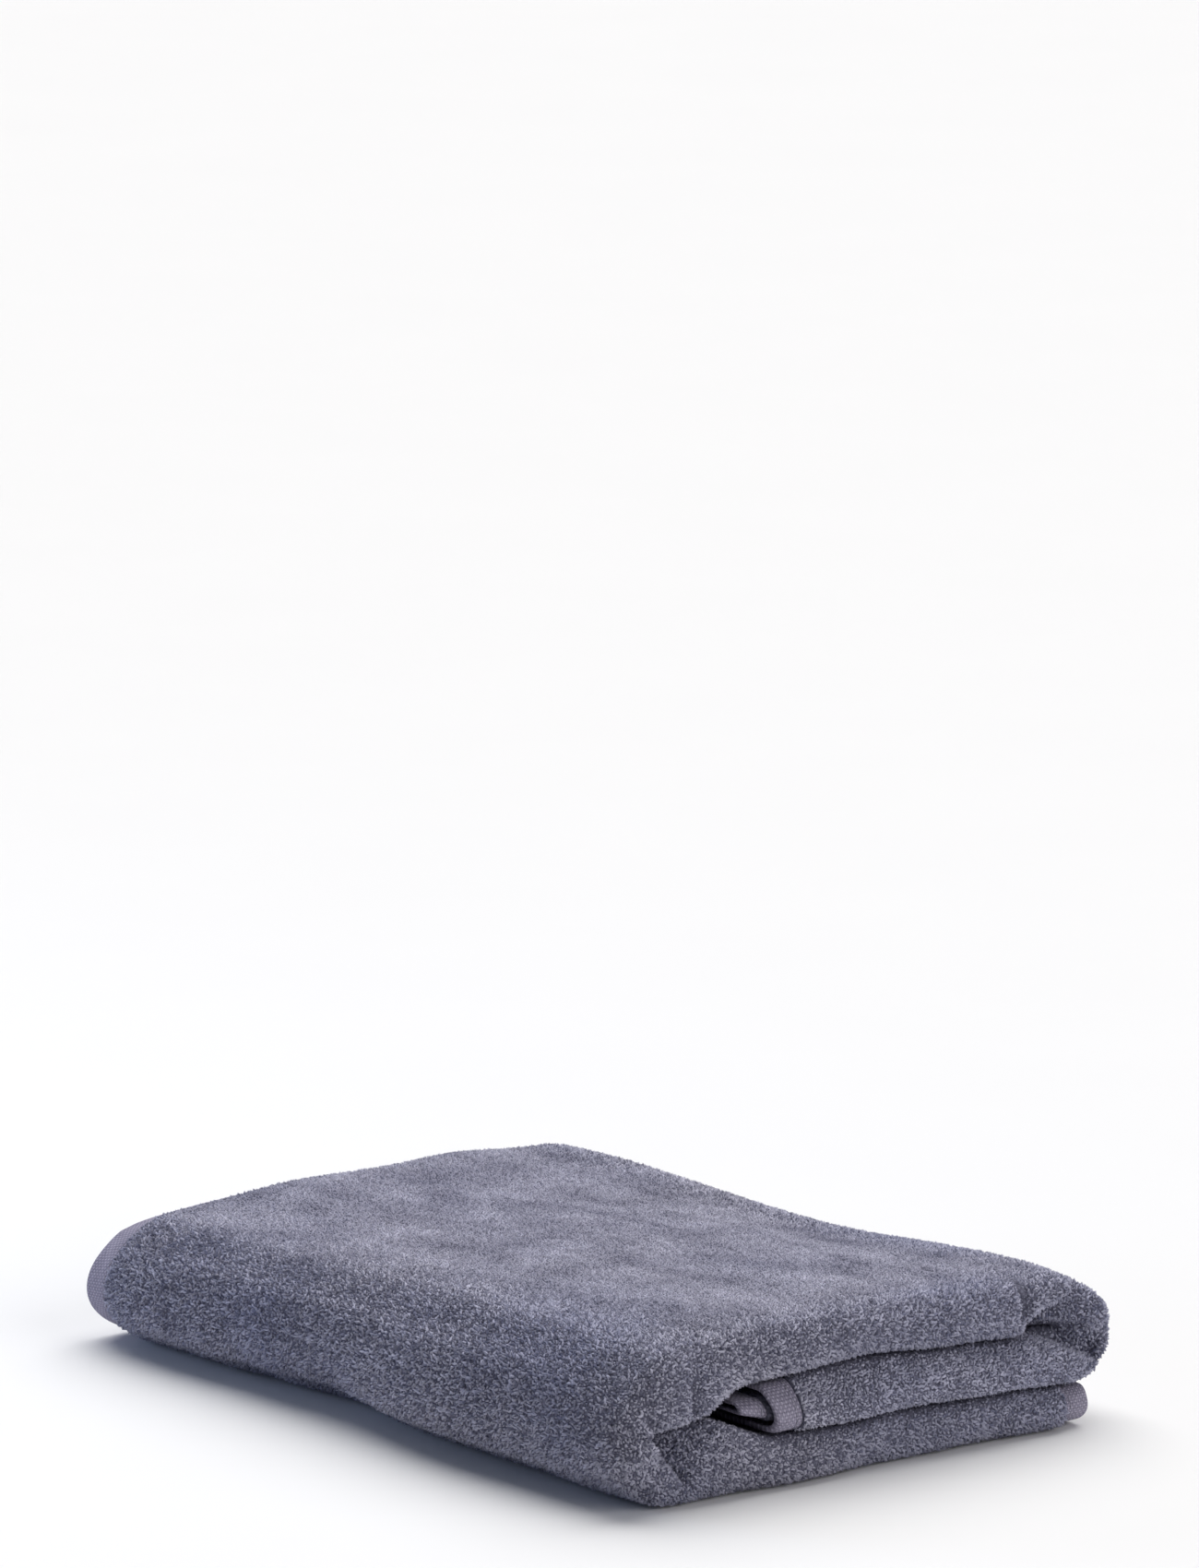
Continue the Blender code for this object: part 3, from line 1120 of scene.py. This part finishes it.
def pile_tool(
    material: bpy.types.Material, spacing: float, bold: Loops, calm: Loops, seed: int
) -> NodeTool:
    """Makes the tree that grows loops of yarn on a surface.

    Args:
        material: the pile's material.
        spacing: the least distance between two loops.
        bold: the loops where the surface's "calm" attribute is 0.
        calm: the loops where it is 1.
        seed: fixes where they stand and how they lean.

    Returns:
        The tree.
    """
    inputs = {
        "Density": ("Float", 1.6 / spacing**2),
        "Spacing": ("Float", spacing),
        "Bold Size": ("Float", bold.size),
        "Calm Size": ("Float", calm.size),
        "Bold Tilt": ("Float", bold.tilt),
        "Calm Tilt": ("Float", calm.tilt),
        "Seed": ("Int", seed),
        "Yarn": ("Material", material),
    }
    tool = NodeTool("pile", inputs)
    share = tool.socket("GeometryNodeInputNamedAttribute", {"Name": "calm"}, data_type="FLOAT")

    def between(what: str) -> Signal:
        """Mixes the bold and the calm value of a quantity by the surface's calm."""
        inputs = {0: share, 2: tool.inputs[f"Bold {what}"], 3: tool.inputs[f"Calm {what}"]}
        return Signal(tool, tool.socket("ShaderNodeMix", inputs, data_type="FLOAT"))

    inputs = {
        "Mesh": tool.inputs["Geometry"],
        "Distance Min": tool.inputs["Spacing"],
        "Density Max": tool.inputs["Density"],
        "Seed": tool.inputs["Seed"],
    }
    settings = {"distribute_method": "POISSON"}
    spots = tool.node("GeometryNodeDistributePointsOnFaces", settings, inputs).outputs
    inputs = {
        "Resolution": 2,
        "Start": (-0.40 * MM, 0.0, -0.35 * MM),
        "Start Handle": (-0.65 * MM, 0.25 * MM, 1.40 * MM),
        "End Handle": (0.65 * MM, -0.25 * MM, 1.40 * MM),
        "End": (0.40 * MM, 0.0, -0.35 * MM),
    }
    arch = tool.socket("GeometryNodeCurvePrimitiveBezierSegment", inputs, mode="POSITION")
    inputs = {"Resolution": 3, "Radius": 0.55 * MM}
    yarn = tool.socket("GeometryNodeCurvePrimitiveCircle", inputs, mode="RADIUS")
    inputs = {"Curve": arch, "Profile Curve": yarn, "Fill Caps": True}
    loop = tool.socket("GeometryNodeCurveToMesh", inputs)
    tilt = between("Tilt")
    lean = tilt * -1.0
    inputs = {
        0: tool.turned(lean, lean, -math.pi),
        1: tool.turned(tilt, tilt, math.pi),
        "Seed": tool.inputs["Seed"],
    }
    turn = tool.socket("FunctionNodeRandomValue", inputs, data_type="FLOAT_VECTOR")
    inputs = {"Rotation": spots["Rotation"], "Rotate By": turn}
    aimed = tool.socket("FunctionNodeRotateRotation", inputs, rotation_space="LOCAL")
    inputs = {2: 0.72, 3: 1.30, "Seed": tool.inputs["Seed"]}
    growth = Signal(tool, tool.socket("FunctionNodeRandomValue", inputs, 1, data_type="FLOAT"))
    inputs = {
        "Points": spots["Points"],
        "Instance": loop,
        "Rotation": aimed,
        "Scale": growth * between("Size"),
    }
    grown = tool.socket("GeometryNodeInstanceOnPoints", inputs)
    inputs = {2: 0.0, 3: 1.0, "Seed": 5}
    tones = tool.socket("FunctionNodeRandomValue", inputs, 1, data_type="FLOAT")
    inputs = {"Geometry": grown, "Name": "tone", "Value": tones}
    settings = {"data_type": "FLOAT", "domain": "INSTANCE"}
    toned = tool.socket("GeometryNodeStoreNamedAttribute", inputs, **settings)
    tool.close(toned, tool.inputs["Yarn"])
    return tool


# ---- Sub-assemblies -----------------------------------------------------------------------------


@dataclass
class Towel:
    """The cloth with its hems."""

    cloth: FoldedCloth
    terry: bpy.types.Material
    woven: bpy.types.Material

    def columns(self) -> np.ndarray:
        """Gives the places across at which the pile cloth is cut, its two edges left out."""
        path, hem = self.cloth.across, self.cloth.side_hem
        wrap, top, fold, tucked = (path.start_of(part) for part in list(Across)[1:])
        end = path.length - hem
        return dense(
            [
                (hem + 3 * MM, wrap - 16 * MM, 4.4 * MM),
                (wrap - 16 * MM, top + 6 * MM, 1.7 * MM),
                (top + 6 * MM, fold - 14 * MM, 2.9 * MM),
                (fold - 14 * MM, fold, 1.6 * MM),
                (fold, tucked, 0.95 * MM),
                (tucked, tucked + 12 * MM, 1.8 * MM),
                (tucked + 12 * MM, end - 3 * MM, 4.0 * MM),
            ]
        )

    def rows(self) -> np.ndarray:
        """Gives the places along at which the pile cloth is cut, its two edges included."""
        path, hem = self.cloth.along, self.cloth.end_hem
        roll, back, loop, forth, bend, last = (path.start_of(part) for part in list(Along)[1:])
        edge = np.array([0.0, 0.35, 0.9, 1.8, 3.0]) * MM
        body = dense(
            [
                (hem + 3 * MM, roll - 22 * MM, 4.4 * MM),
                (roll - 22 * MM, roll, 1.7 * MM),
                (roll, back, 1.25 * MM),
                (back, back + 10 * MM, 2.0 * MM),
                (back + 10 * MM, loop, 24 * MM),
                (loop, forth, 1.5 * MM),
                (forth, bend, 24 * MM),
                (bend, last, 1.5 * MM),
                (last, path.length - hem - 3 * MM, 24 * MM),
            ]
        )
        return np.concatenate([hem + edge[:-1], body, path.length - hem - edge[-2::-1]])

    def pile_cloth(self) -> bpy.types.Object:
        """Makes the pile cloth, thinner where it meets a hem."""
        cloth = self.cloth
        rows, inside = self.rows(), self.columns()
        shift = cloth.slipped(rows)[:, None]
        edge = np.array([0.0, 0.35, 0.9, 1.8]) * MM
        first = shift + cloth.side_hem + edge[None, :]
        last = shift + cloth.across.length - cloth.side_hem - edge[None, ::-1]
        middle = np.repeat(inside[None, :], len(rows), axis=0)
        middle = np.clip(middle, first[:, -1:] + 0.5 * MM, last[:, :1] - 0.5 * MM)
        if (np.diff(middle, axis=1) <= 0).any():
            spare = np.linspace(0.0, 1.0, len(inside))[None, :] * 0.2 * MM
            middle = np.maximum.accumulate(middle, axis=1) + spare
            middle = np.minimum(middle, last[:, :1] - 0.2 * MM + spare)
        across = np.concatenate([first, middle, last], axis=1)
        side = np.minimum(across - first[:, :1], last[:, -1:] - across)
        end = np.minimum(rows - rows[0], rows[-1] - rows)[:, None]
        share = np.minimum(eased_edge(side, 3 * MM, 0.62), eased_edge(end, 3 * MM, 0.62))
        slab = Slab(cloth, across, rows)
        made = slab.build("terry_cloth_folded", cloth.pile / 2 * share, self.terry)
        calm = cloth.calm(across, slab.along)
        store(made, "calm", np.concatenate([calm, 0 * calm]))
        return made

    def hem_steps(self, width: float) -> np.ndarray:
        """Gives the distances from a hem's folded edge at which it is cut.

        Args:
            width: the hem's depth.

        Returns:
            Distances, the least first.
        """
        return dense(
            [(0.0, 2 * MM, 0.5 * MM), (2 * MM, width - self.cloth.piece_gap, 0.9 * MM)]
        )

    def end_hem(self, name: str, inner: bool) -> bpy.types.Object:
        """Makes the hem along a short edge.

        Args:
            name: the object's name.
            inner: whether it is the one between the plies.

        Returns:
            The object.
        """
        cloth = self.cloth
        depth = self.hem_steps(cloth.end_hem)
        rows = cloth.along.length - depth[::-1] if inner else depth
        slip = cloth.slipped(rows)[:, None]
        cuts = np.concatenate([[0.0, 1 * MM, 2 * MM], self.columns()])
        cuts = np.concatenate([cuts, cloth.across.length - np.array([2.0, 1.0, 0.0]) * MM])
        across = np.repeat(cuts[None, :], len(rows), axis=0)
        across[:, :3] += slip
        across[:, -3:] += slip
        if inner:
            across[:, 3:-3] = np.clip(across[:, 3:-3], across[:, 2:3] + 0.4 * MM, None)
            across[:, 3:-3] = np.maximum.accumulate(across[:, 3:-3], axis=1)
            across[:, 3:-3] += np.linspace(0.0, 0.3, across.shape[1] - 6)[None, :] * MM
        edge = (depth[::-1] if inner else depth)[:, None]
        sides = np.minimum(across - across[:, :1], across[:, -1:] - across)
        half = self.hem_half(edge, cloth.end_hem, sides)
        return Slab(cloth, across, rows).build(name, half, self.woven)

    def hem_half(self, edge: np.ndarray, width: float, sides: np.ndarray) -> np.ndarray:
        """Gives half a hem's thickness.

        Args:
            edge: how far from the hem's folded edge.
            width: the hem's width.
            sides: how far from its ends.

        Returns:
            Half the thickness, rounded at the edge and drawn in along the seam.
        """
        cloth = self.cloth
        seam = (edge - (width - cloth.seam_inset)) / (0.9 * MM)
        drawn = 1 - 0.16 * np.exp(-(seam**2))
        share = np.minimum(eased_edge(edge, 1.6 * MM, 0.45), eased_edge(sides, 1.2 * MM, 0.6))
        return cloth.hem / 2 * drawn * share

    def side_hem(self, name: str, tucked: bool) -> bpy.types.Object:
        """Makes the hem along a long edge.

        Args:
            name: the object's name.
            tucked: whether it is the one on the tucked third.

        Returns:
            The object.
        """
        cloth = self.cloth
        rows = self.rows()
        depth = self.hem_steps(cloth.side_hem)
        slip = cloth.slipped(rows)[:, None]
        across = slip + (cloth.across.length - depth[None, ::-1] if tucked else depth[None, :])
        edge = np.repeat((depth[::-1] if tucked else depth)[None, :], len(rows), axis=0)
        half = self.hem_half(edge, cloth.side_hem, np.full_like(edge, 1.0))
        return Slab(cloth, across, rows).build(name, half, self.woven)


class Face(Enum):
    """The cloth's two faces, by the sign of their lift."""

    OUTER = 1
    INNER = -1


@dataclass
class Seams:
    """The lockstitch of each hem: a needle thread on one face and a bobbin thread on the other."""

    cloth: FoldedCloth
    thread: bpy.types.Material
    stitch: float = 2.5 * MM
    pitch: float = 3.1 * MM

    def lines(self) -> dict[str, tuple[np.ndarray, np.ndarray]]:
        """Gives each seam's places, across and along."""
        cloth = self.cloth
        width, length = cloth.flat
        end, side = cloth.end_hem - cloth.seam_inset, cloth.side_hem - cloth.seam_inset
        found = {}
        for name, row in (("end_outer", end), ("end_inner", length - end)):
            slip = float(cloth.slipped(np.array([row]))[0])
            spots = np.arange(slip + 3.5 * MM, slip + width - 3.5 * MM, 1.2 * MM)
            found[name] = spots, np.full_like(spots, row)
        for name, column in (("side_bottom", side), ("side_tucked", width - side)):
            rows = np.arange(cloth.end_hem + 1 * MM, length - cloth.end_hem - 1 * MM, 1.2 * MM)
            found[name] = column + cloth.slipped(rows), rows
        return found

    def sew(self) -> dict[str, bpy.types.Object]:
        """Sews every seam.

        Returns:
            The threads' objects, by the node that each replaces.
        """
        sewn = {}
        lift = self.cloth.hem / 2 * 0.86 + self.cloth.thread * 0.5
        for name, (across, along) in self.lines().items():
            for label, face in (("needle", Face.OUTER), ("bobbin", Face.INNER)):
                points = self.cloth.place(across, along, np.full_like(across, face.value * lift))
                edges = [(n, n + 1) for n in range(len(points) - 1)]
                node = f"{label}_thread_{name}"
                line = new_object(f"{node}_line", points, edges)
                tool = stitch_tool(self.thread, self.stitch, self.cloth.thread, self.pitch)
                sewn[node] = tool.run(line, f"{node}_stitches")
        return sewn


@dataclass
class Pile:
    """Loops of yarn that stand on the faces of the pile that show.

    Attributes:
        cloth: the rule of the fold.
        yarn: the pile's material.
        spacing: the least distance between two loops.
        bold: the loops of the sides and the rolls.
        calm: the loops of the pressed top.
        root: how far under the cloth's face the loops stand.
        short: how much shorter the loops are where two rolls meet.
        shut: how much lower they stand in a crease.
        ground: the grid's step in the surface that they stand on.
        first_seed: the first patch's seed; each next patch has the next number.
    """

    cloth: FoldedCloth
    yarn: bpy.types.Material
    spacing: float = 0.93 * MM
    bold: Loops = Loops(1.0, 0.70)
    calm: Loops = Loops(0.80, 0.90)
    root: float = 0.25 * MM
    short: float = 1.0 * MM
    shut: float = 1.1 * MM
    ground: float = 1.0 * MM
    first_seed: int = 11

    def patches(self) -> dict[str, tuple[float, float, float, float]]:
        """Gives each patch's four limits: the first and last place across, then along."""
        across, along = self.cloth.across, self.cloth.along
        wrap, top, fold, tucked = (across.start_of(part) for part in list(Across)[1:])
        roll, back = along.start_of(Along.ROLL), along.start_of(Along.BACK)
        begin, end = self.cloth.end_hem + 0.4 * MM, roll - 8 * MM
        cuts = np.linspace(begin, end, 5)
        found = {}
        for n in range(4):
            found[f"pile_wrap_{n + 1}"] = (wrap - 14 * MM, top, cuts[n], cuts[n + 1])
            found[f"pile_top_{n + 1}"] = (top, fold, cuts[n], cuts[n + 1])
        half = (begin + end) / 2
        found["pile_fold_1"] = (fold, tucked + 4 * MM, begin, half)
        found["pile_fold_2"] = (fold, tucked + 4 * MM, half, end)
        first = self.cloth.side_hem + 0.4 * MM
        last = across.length - self.cloth.side_hem - 0.4 * MM
        spans = {
            "lower": (first, wrap),
            "wrap": (wrap, top),
            "upper": (top, fold),
            "fold": (fold, tucked),
            "tucked": (tucked, last),
        }
        for name, (left, right) in spans.items():
            found[f"pile_roll_{name}"] = (left, right, end, back + 5 * MM)
        return found

    def sunk(self, name: str, along: np.ndarray) -> np.ndarray:
        """Gives how much shorter the loops are where one roll lies against the next.

        Args:
            name: the patch's name.
            along: places along the cloth.

        Returns:
            Lengths.
        """
        path = self.cloth.along
        roll, back = path.start_of(Along.ROLL), path.start_of(Along.BACK)
        shut = 1 - ease((back - along) / (8 * MM))
        if name.endswith("tucked"):
            shut = np.maximum(shut, 1 - ease((along - roll) / (8 * MM)))
        return self.short * shut

    def press(self, patch: bpy.types.Object) -> None:
        """Presses the loops that stand under the towel flat on the floor.

        Args:
            patch: the patch of pile, which is changed.
        """
        points = np.empty(len(patch.data.vertices) * 3, np.float32)
        patch.data.vertices.foreach_get("co", points)
        height = points[2::3]
        points[2::3] = np.where(height < MM, MM * np.exp(height / MM - 1), height)
        patch.data.vertices.foreach_set("co", points)
        patch.data.update()

    def grow(self) -> list[bpy.types.Object]:
        """Grows every patch.

        Returns:
            The patches' objects.
        """
        grown = []
        for seed, (name, (left, right, begin, end)) in enumerate(self.patches().items()):
            columns = np.linspace(left, right, max(3, int((right - left) / self.ground)))
            rows = np.linspace(begin, end, max(3, int((end - begin) / self.ground)))
            across, along = np.meshgrid(columns, rows)
            lift = self.cloth.pile / 2 - self.root - self.sunk(name, along)
            if "roll" in name:
                seen = self.cloth.place(across, along, lift)
                grips = [crease.grip(seen[..., 0], seen[..., 2]) for crease in self.cloth.creases]
                lift = lift - self.shut * np.clip(sum(grips), 0.0, 1.0)
            points = self.cloth.place(across, along, lift).reshape(-1, 3)
            index = np.arange(points.shape[0]).reshape(across.shape)
            emitter = new_object(f"{name}_ground", points, quads(index).tolist())
            store(emitter, "calm", self.cloth.calm(across, along))
            # The fair attribute is painted light on the tucked third.
            store(emitter, "fair", self.cloth.fair(across))
            tool = pile_tool(self.yarn, self.spacing, self.bold, self.calm, self.first_seed + seed)
            patch = tool.run(emitter, name)
            self.press(patch)
            grown.append(patch)
        return grown


# ---- Studio -------------------------------------------------------------------------------------


@dataclass
class Studio:
    """The floor, the lights and the camera.

    The camera looks from azimuth and elevation, in degrees, at the towel's middle. At the towel its
    view is one span wide, and its middle lies aside to the right of the towel's and above it.
    """

    azimuth: float = -38.50
    elevation: float = 11.90
    distance: float = 5.1
    span: float = 0.4889056
    aside: float = 0.0063182
    above: float = 0.2111696
    sensor: float = 36.0

    def floor(self) -> bpy.types.Object:
        """Makes the floor, a little under the towel."""
        half, low = 6.0, -0.5 * MM
        turns = ((-1, -1), (1, -1), (1, 1), (-1, 1))
        corners = np.array([(x * half, y * half, low) for x, y in turns])
        finish = FloorFinish("studio_floor", (0.89, 0.89, 0.895))
        return new_object("studio_floor", corners, [(0, 1, 2, 3)], finish.build())

    def hang(self, name: str, kind: str, place: tuple, **settings: object) -> None:
        """Hangs a light that faces the towel.

        Args:
            name: its name.
            kind: SUN, far away in the direction of its place, or AREA, near and square.
            place: where it hangs.
            settings: its angle or size, its energy and its colour.
        """
        data = bpy.data.lights.new(name, kind)
        for setting, value in settings.items():
            setattr(data, setting, value)
        made = put(name, data)
        made.location = place
        made.rotation_euler = (-Vector(place)).to_track_quat("-Z", "Y").to_euler()

    def air(self) -> bpy.types.World:
        """Makes the world: a faint bluish light, which the camera sees as a pale backdrop."""
        world = bpy.data.worlds.new("studio_air")
        world.use_nodes = True
        sky = NodeTree(world.node_tree)
        air = {"Color": (0.90, 0.94, 1.0), "Strength": 0.10}
        seen = {"Color": (0.93, 0.93, 0.94), "Strength": 1.0}
        ray = sky.node("ShaderNodeLightPath", {}, {}).outputs["Is Camera Ray"]
        dim, pale = (sky.node("ShaderNodeBackground", {}, look).outputs[0] for look in (air, seen))
        either = sky.node("ShaderNodeMixShader", {}, {0: ray, 1: dim, 2: pale})
        sky.connect(world.node_tree.nodes["World Output"].inputs["Surface"], either.outputs[0])
        return world

    def light(self) -> None:
        """Lights the scene softly, mostly from above and behind."""
        scene = bpy.context.scene
        scene.view_settings.view_transform = "Standard"
        scene.world = self.air()
        for name, place, spread, power, colour in (
            ("key", (0.42, 0.42, 1.0), 75.0, 3.18, (1.0, 0.99, 0.98)),
            ("fill", (0.40, -1.0, 0.46), 50.0, 1.12, (1.0, 0.98, 0.98)),
        ):
            self.hang(name, "SUN", place, angle=math.radians(spread), energy=power, color=colour)
        look = {"shape": "SQUARE", "size": 0.4, "energy": 2.6, "color": (0.52, 0.66, 1.0)}
        self.hang("window", "AREA", (-0.70, 0.82, 0.26), **look)

    def camera(self) -> None:
        """Makes the camera and makes it the scene's."""
        data = bpy.data.cameras.new("camera")
        data.sensor_fit, data.sensor_width = "HORIZONTAL", self.sensor
        data.lens = self.distance / self.span * self.sensor
        data.clip_start, data.clip_end = 0.05, 60.0
        turn, rise = math.radians(self.azimuth), math.radians(self.elevation)
        away = Vector(
            (math.sin(turn) * math.cos(rise), -math.cos(turn) * math.cos(rise), math.sin(rise))
        )
        facing = (-away).to_track_quat("-Z", "Y")
        right, upward = facing @ Vector((1, 0, 0)), facing @ Vector((0, 1, 0))
        aim = Vector((0.0, 0.0, 0.033)) + upward * self.above + right * self.aside
        made = put("camera", data)
        made.location = aim + away * self.distance
        made.rotation_euler = facing.to_euler()
        bpy.context.scene.camera = made


def report(piece: bpy.types.Object) -> None:
    """Logs a piece's name and its triangles."""
    triangles = sum(len(face.vertices) - 2 for face in piece.data.polygons)
    LOG.info("%s: %d triangles", piece.name, triangles)


def main() -> None:
    """Builds the towel in its studio."""
    logging.basicConfig(level=logging.INFO, format="%(message)s")
    # The ground's colours are far darker than the yarn's: painted shade between the loops.
    terry = GroundFinish(
        "terry_ground", (0.040, 0.040, 0.064), (0.225, 0.225, 0.300), (0.350, 0.348, 0.445)
    )
    # The yarn's last colour is the cool tint, partly painted bluish light on the sides and rolls.
    yarn = YarnFinish(
        "terry_pile", (0.125, 0.126, 0.178), (0.600, 0.592, 0.710), (0.255, 0.280, 0.445)
    )
    woven = WovenFinish("hem_weave", (0.090, 0.084, 0.125), (0.480, 0.450, 0.570))
    thread = ThreadFinish("seam_thread", (0.26, 0.25, 0.31), (0.44, 0.42, 0.52))

    cloth = FoldedCloth()
    towel = Towel(cloth, terry.build(), woven.build())
    body = towel.pile_cloth()
    hems = {
        "end_hem_outer": towel.end_hem("end_hem_outer_woven", False),
        "end_hem_inner": towel.end_hem("end_hem_inner_woven", True),
        "side_hem_bottom": towel.side_hem("side_hem_bottom_woven", False),
        "side_hem_tucked": towel.side_hem("side_hem_tucked_woven", True),
    }
    stitches = Seams(cloth, thread.build()).sew()
    pile = Pile(cloth, yarn.build()).grow()

    for slot, pieces in (
        ("terry", {"terry_cloth": body}),
        ("hem", hems),
        ("thread", stitches),
    ):
        for node, piece in pieces.items():
            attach(piece, BODY)
            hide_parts(node)
            report(piece)
    for piece in pile:
        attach(piece, BODY)
        report(piece)
    companions = [*hems.values(), *stitches.values(), *pile]

    studio = Studio()
    studio.floor()
    studio.light()
    studio.camera()


if __name__ == "__main__":
    main()
